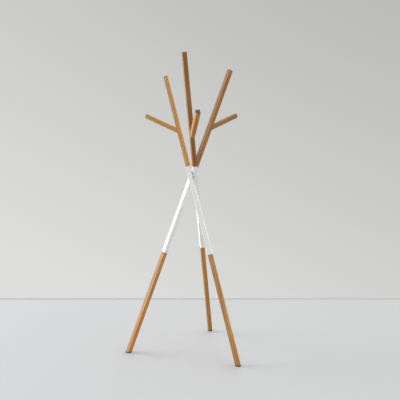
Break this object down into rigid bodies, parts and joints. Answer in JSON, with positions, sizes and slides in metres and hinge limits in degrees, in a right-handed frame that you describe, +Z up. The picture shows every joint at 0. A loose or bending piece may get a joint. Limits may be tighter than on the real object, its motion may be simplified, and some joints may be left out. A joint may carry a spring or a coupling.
{
  "type": "standing coat rack",
  "caption": "Free-standing coat rack: slim square oak bars crossing in a twisted tripod, white at the crossing, each with one slanting branch to hang coats on.",
  "frame": {"origin": "on the floor, under the middle of the overall box", "axes": "+Z up; -Y towards the side that the rack is usually seen from, with one leg at the back"},
  "size_m": [0.7078, 0.7036, 1.7812],
  "materials": {
    "oak": "oiled oak, satin",
    "white_lacquer": "white lacquered wood, satin",
    "beech": "raw beech",
    "zinc_steel": "zinc plated",
    "brass": "plain brass",
    "white_nylon": "matt white nylon",
    "dark_rubber": "matt dark rubber"
  },
  "bodies": {
    "root": {"branch_1": "oak", "branch_2": "oak", "branch_3": "oak", "branch_dowel_1": "beech", "branch_dowel_2": "beech", "branch_dowel_3": "beech", "crossing_bolt_1": "zinc_steel", "crossing_bolt_2": "zinc_steel", "crossing_bolt_3": "zinc_steel", "crossing_insert_1": "brass", "crossing_insert_2": "brass", "crossing_insert_3": "brass", "crossing_plug_1": "white_lacquer", "crossing_plug_2": "white_lacquer", "crossing_plug_3": "white_lacquer", "crossing_spacer_1": "white_nylon", "crossing_spacer_2": "white_nylon", "crossing_spacer_3": "white_nylon", "foot_glide_1": "dark_rubber", "foot_glide_2": "dark_rubber", "foot_glide_3": "dark_rubber", "lower_insert_1": "brass", "lower_insert_2": "brass", "lower_insert_3": "brass", "lower_leg_1": "oak", "lower_leg_2": "oak", "lower_leg_3": "oak", "lower_stud_1": "zinc_steel", "lower_stud_2": "zinc_steel", "lower_stud_3": "zinc_steel", "middle_bar_1": "white_lacquer", "middle_bar_2": "white_lacquer", "middle_bar_3": "white_lacquer", "upper_bar_1": "oak", "upper_bar_2": "oak", "upper_bar_3": "oak", "upper_insert_1": "brass", "upper_insert_2": "brass", "upper_insert_3": "brass", "upper_stud_1": "zinc_steel", "upper_stud_2": "zinc_steel", "upper_stud_3": "zinc_steel"}
  },
  "joints": []
}
